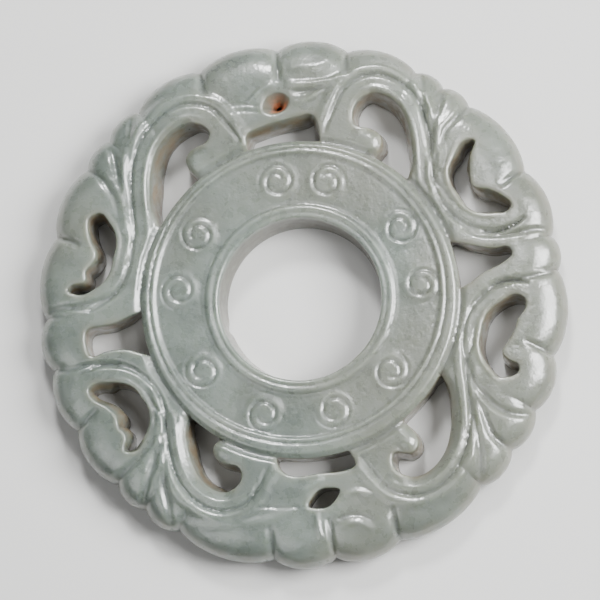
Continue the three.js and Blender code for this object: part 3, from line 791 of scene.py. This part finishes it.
def jade_material():
    """Pale celadon jade: cloudy and translucent, with a worn polish and ochre stains on the cut walls,
    painted warm light towards the right, and painted shade on the wall of the central hole.
    """
    material = bpy.data.materials.new("jade")
    material.use_nodes = True
    nodes, links = material.node_tree.nodes, material.node_tree.links
    shader = nodes["Principled BSDF"]

    def noise(scale, detail, roughness=0.5, distortion=0.0):
        node = nodes.new("ShaderNodeTexNoise")
        node.inputs["Scale"].default_value = scale
        node.inputs["Detail"].default_value = detail
        node.inputs["Roughness"].default_value = roughness
        node.inputs["Distortion"].default_value = distortion
        links.new(place.outputs["Object"], node.inputs["Vector"])
        return node.outputs["Fac"]

    def math_node(operation, first, second):
        node = nodes.new("ShaderNodeMath")
        node.operation = operation
        node.use_clamp = True
        for socket, value in zip(node.inputs, (first, second)):
            if isinstance(value, (int, float)):
                socket.default_value = value
            else:
                links.new(value, socket)
        return node.outputs[0]

    def ramp(value, low, high):
        node = nodes.new("ShaderNodeMapRange")
        node.interpolation_type = "SMOOTHSTEP"
        node.inputs["From Min"].default_value = low
        node.inputs["From Max"].default_value = high
        links.new(value, node.inputs["Value"])
        return node.outputs["Result"]

    def blend(share, first, second):
        node = nodes.new("ShaderNodeMix")
        node.data_type = "RGBA"
        links.new(share, node.inputs["Factor"])
        for socket, value in ((node.inputs["A"], first), (node.inputs["B"], second)):
            if isinstance(value, tuple):
                socket.default_value = value
            else:
                links.new(value, socket)
        return node.outputs["Result"]

    place = nodes.new("ShaderNodeTexCoord")
    surface = nodes.new("ShaderNodeNewGeometry")
    normal = nodes.new("ShaderNodeSeparateXYZ")
    links.new(surface.outputs["Normal"], normal.inputs[0])
    position = nodes.new("ShaderNodeSeparateXYZ")
    links.new(place.outputs["Object"], position.inputs[0])

    clouds = ramp(noise(170, 2.5, 0.5, 0.8), 0.33, 0.68)
    body = blend(clouds, DARK_CLOUD, LIGHT_CLOUD)
    veins = ramp(noise(330, 3, 0.5, 1.0), 0.58, 0.78)
    body = blend(math_node("MULTIPLY", veins, 0.12), body, VEIN)
    # Warmer tone towards the right: painted warm light from the right side, mixed with random warm patches
    # of the stone
    to_right = math_node("MULTIPLY", position.outputs["X"], 9)
    warm_patches_and_light = ramp(math_node("ADD", noise(60, 2), to_right), 0.4, 0.75)
    body = blend(math_node("MULTIPLY", warm_patches_and_light, 0.5), body, WARM_STONE_AND_LIGHT)
    stain = math_node("MULTIPLY", attribute_mask(nodes, "stain"), ramp(noise(600, 4, 0.6), 0.25, 0.7))
    body = blend(stain, body, OCHRE_STAIN)
    # Painted shade: darkens the wall of the central hole
    body = blend(attribute_mask(nodes, "shade"), body, PAINTED_WALL_SHADE)
    rust = math_node("MULTIPLY", attribute_mask(nodes, "rust"), ramp(noise(1500, 3), 0.3, 0.6))
    body = blend(rust, body, ORANGE_RESIDUE)
    links.new(body, shader.inputs["Base Color"])

    polish = ramp(noise(900, 3), 0.35, 0.65)
    rough = nodes.new("ShaderNodeMapRange")
    rough.inputs["To Min"].default_value = 0.24
    rough.inputs["To Max"].default_value = 0.38
    links.new(polish, rough.inputs["Value"])
    dull = math_node("ADD", rough.outputs["Result"], math_node("MULTIPLY", stain, 0.35))
    dull = math_node("ADD", dull, math_node("MULTIPLY", attribute_mask(nodes, "shade"), 0.3))
    links.new(dull, shader.inputs["Roughness"])

    waves = nodes.new("ShaderNodeBump")
    waves.inputs["Strength"].default_value = 0.25
    waves.inputs["Distance"].default_value = 0.25 * MM
    links.new(noise(700, 2), waves.inputs["Height"])
    grain = nodes.new("ShaderNodeBump")
    links.new(math_node("MULTIPLY", normal.outputs["Z"], 0.3), grain.inputs["Strength"])
    grain.inputs["Distance"].default_value = 0.08 * MM
    links.new(noise(3500, 3), grain.inputs["Height"])
    links.new(waves.outputs["Normal"], grain.inputs["Normal"])
    links.new(grain.outputs["Normal"], shader.inputs["Normal"])
    links.new(grain.outputs["Normal"], shader.inputs["Coat Normal"])

    shader.inputs["IOR"].default_value = 1.61
    shader.inputs["Coat Weight"].default_value = 0.8
    shader.inputs["Coat Roughness"].default_value = 0.13
    shader.inputs["Coat IOR"].default_value = 1.5
    shader.inputs["Subsurface Weight"].default_value = 1.0
    shader.inputs["Subsurface Radius"].default_value = (1.0, 1.05, 0.8)
    shader.inputs["Subsurface Scale"].default_value = 2.6 * MM
    return material


def attribute_mask(nodes, name):
    """The share that each point of the mesh carries under this name."""
    node = nodes.new("ShaderNodeAttribute")
    node.attribute_name = name
    return node.outputs["Fac"]


def stains(points):
    """Share of ochre at each point: stain on the walls of the openings, and a faint ochre darkening along
    the outer edge.
    """
    flat, z = points[:, :2], points[:, 2]
    radius = np.hypot(flat[:, 0], flat[:, 1])
    near = nearest_distance(flat, OPENING_EDGE)
    below = smoothstep(THICKNESS - 0.35 - z, 0.0, 1.6)
    on_wall = (1 - smoothstep(near, 0.9, 1.3)) * (radius > RING_RADIUS - 0.8) * below
    rim = 0.25 * (1 - smoothstep(near, 0.0, 0.9)) * (radius > RING_RADIUS)
    # Faint ochre darkening along the outer edge
    outer_edge = 0.28 * (1 - smoothstep(outline_inset(flat), 0.1, 1.3))
    return np.clip(on_wall + rim + outer_edge, 0, 1) * (z > 0.05)


def shade(points):
    """Share of painted shade at each point: on the wall of the central hole."""
    radius = np.hypot(points[:, 0], points[:, 1])
    return 0.92 * (radius < HOLE_RADIUS + 0.1) * smoothstep(THICKNESS - 0.2 - points[:, 2], 0.0, 0.6)


def rust(points):
    """Share of the orange residue at each point: round the waist of the hanging hole."""
    middle = OPENINGS[-1][0].mean(0) + WAIST_SHIFT
    away = np.hypot(*(points[:, :2] - middle).T)
    return (1 - smoothstep(away, RESIDUE_RADIUS - 0.2, RESIDUE_RADIUS)) * (points[:, 2] < BORDER_TOP - 0.4)


def make_disc():
    """Puts the disc in the scene with the middle of its box at the origin, and returns that middle."""
    points, faces = disc_mesh()
    low, high = points.min(0), points.max(0)
    middle = np.array([(low[0] + high[0]) / 2, (low[1] + high[1]) / 2, 0])
    mesh = bpy.data.meshes.new("openwork_disc_carved")
    mesh.from_pydata(((points - middle) * MM).tolist(), [], faces)
    mesh.shade_smooth()
    mesh.set_sharp_from_angle(angle=math.radians(50))
    for name, share in (("stain", stains(points)), ("shade", shade(points)), ("rust", rust(points))):
        mesh.attributes.new(name, "FLOAT", "POINT").data.foreach_set("value", share.astype(np.float32))
    piece = bpy.data.objects.new("openwork_disc_carved", mesh)
    bpy.context.collection.objects.link(piece)
    mesh.materials.append(jade_material())
    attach(piece, "root")
    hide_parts("openwork_disc")
    return middle


def make_floor():
    mesh = bpy.data.meshes.new("floor")
    half = FLOOR_HALF * MM
    corners = [(-half, -half, 0), (half, -half, 0), (half, half, 0), (-half, half, 0)]
    mesh.from_pydata(corners, [], [(0, 1, 2, 3)])
    floor = bpy.data.objects.new("floor", mesh)
    bpy.context.collection.objects.link(floor)
    material = bpy.data.materials.new("floor")
    material.use_nodes = True
    shader = material.node_tree.nodes["Principled BSDF"]
    shader.inputs["Base Color"].default_value = FLOOR_COLOUR
    shader.inputs["Roughness"].default_value = 0.9
    mesh.materials.append(material)


def add_light(name, azimuth, elevation, distance, size, power):
    """A soft square light that faces the disc, with its distance and size in metres and power in watts."""
    data = bpy.data.lights.new(name, "AREA")
    data.size = size
    data.energy = power
    light = bpy.data.objects.new(name, data)
    a, e = math.radians(azimuth), math.radians(elevation)
    direction = Vector((math.cos(a) * math.cos(e), math.sin(a) * math.cos(e), math.sin(e)))
    light.location = direction * distance
    light.rotation_euler = direction.to_track_quat("Z", "Y").to_euler()
    bpy.context.collection.objects.link(light)


def make_lights():
    add_light("key", azimuth=84, elevation=48, distance=0.45, size=0.08, power=1.9)
    add_light("side", azimuth=2, elevation=43, distance=0.45, size=0.26, power=5.8)
    add_light("fill", azimuth=212, elevation=48, distance=0.6, size=0.4, power=1.1)
    add_light("sheen", azimuth=55, elevation=73, distance=0.16, size=0.03, power=0.036)
    world = bpy.data.worlds.new("studio")
    world.use_nodes = True
    world.node_tree.nodes["Background"].inputs["Color"].default_value = (1, 1, 1, 1)
    world.node_tree.nodes["Background"].inputs["Strength"].default_value = 0.1
    bpy.context.scene.world = world


def make_camera(middle):
    """The camera, set so that the middle of the ring's face lies at its place in the frame."""
    tilt, azimuth = math.radians(VIEW_TILT), math.radians(VIEW_AZIMUTH)
    back = Vector((math.sin(tilt) * math.cos(azimuth), math.sin(tilt) * math.sin(azimuth), math.cos(tilt)))
    slope = Vector((math.cos(tilt) * math.cos(azimuth), math.cos(tilt) * math.sin(azimuth),
                    -math.sin(tilt)))
    level = back.cross(slope)
    turn = math.radians(VIEW_AZIMUTH + VIEW_TURN)
    right = slope * math.cos(turn) - level * math.sin(turn)
    up = slope * math.sin(turn) + level * math.cos(turn)
    data = bpy.data.cameras.new("camera")
    camera = bpy.data.objects.new("camera", data)
    centre = Vector((-middle[0], -middle[1], THICKNESS))
    across = (FRAME_SIZE / 2 - FRAME_CENTRE[0]) / FRAME_SCALE
    above = (FRAME_CENTRE[1] - FRAME_SIZE / 2) / FRAME_SCALE
    target = centre + right * across + up * above
    place = (target + back * VIEW_DISTANCE) * MM
    facing = Matrix((right, up, back)).transposed().to_4x4()
    camera.matrix_world = Matrix.Translation(place) @ facing
    data.sensor_width = LENS_WIDTH
    data.lens = LENS_WIDTH * VIEW_DISTANCE * FRAME_SCALE / FRAME_SIZE
    data.clip_start, data.clip_end = 0.01, 5
    bpy.context.collection.objects.link(camera)
    bpy.context.scene.camera = camera


make_lights()
make_floor()
make_camera(make_disc())
